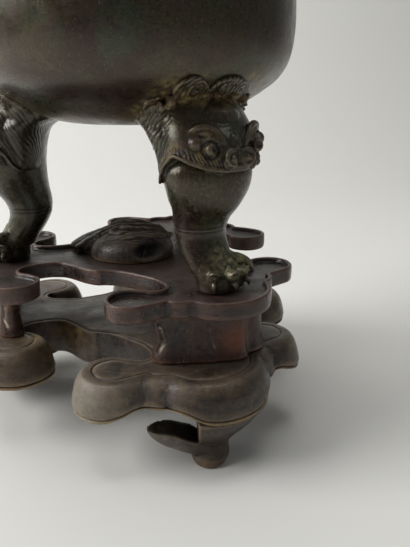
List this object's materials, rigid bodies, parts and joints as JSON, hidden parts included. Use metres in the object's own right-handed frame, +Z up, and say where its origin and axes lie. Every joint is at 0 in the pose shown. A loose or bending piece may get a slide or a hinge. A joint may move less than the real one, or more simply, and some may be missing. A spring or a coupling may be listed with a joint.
{
  "type": "tripod incense burner",
  "caption": "Squat round bronze incense burner with loop handles and lion-mask legs ending in clawed paws, on a carved, tiered, cloud-shaped wooden stand.",
  "frame": {"origin": "on the floor under the stand's feet, below the middle of the whole object's box", "axes": "+Z up along the vessel's axis, which lies at x = 0.01015 m, y = 0.00349 m; +X away from the left leg, whose paw stands on the -X side; +Y towards the rear handle"},
  "size_m": [0.2862, 0.2848, 0.4438],
  "materials": {
    "bronze": "dark olive-brown patina, worn smooth",
    "plate_wood": "dark red-brown hardwood, waxed, edges worn paler",
    "waist_wood": "red-brown hardwood, cracked",
    "base_wood": "grey-brown hardwood, dry and dusty, ochre at the worn bead",
    "peg_wood": "plain cut pegs, unfinished"
  },
  "bodies": {
    "stand": {"stand_plate": "plate_wood", "stand_boss": "base_wood", "boss_peg": "peg_wood", "stand_waist_front": "waist_wood", "stand_waist_rear": "waist_wood", "stand_waist_left": "waist_wood", "waist_peg_front_a": "peg_wood", "waist_peg_front_b": "peg_wood", "waist_peg_rear_a": "peg_wood", "waist_peg_rear_b": "peg_wood", "waist_peg_left_a": "peg_wood", "waist_peg_left_b": "peg_wood", "stand_base": "base_wood", "stand_foot_front": "base_wood", "stand_foot_rear": "base_wood", "stand_foot_left": "base_wood", "foot_peg_front": "peg_wood", "foot_peg_rear": "peg_wood", "foot_peg_left": "peg_wood"},
    "censer": {"censer_bowl": "bronze", "leg_front": "bronze", "leg_rear": "bronze", "leg_left": "bronze", "leg_pin_front": "bronze", "leg_pin_rear": "bronze", "leg_pin_left": "bronze", "handle_front": "bronze", "handle_rear": "bronze"}
  },
  "joints": [
    {"name": "censer_lift", "type": "slide", "parent": "stand", "child": "censer", "axis": [0, 0, 1], "range_m": [0, 0.08]}
  ]
}
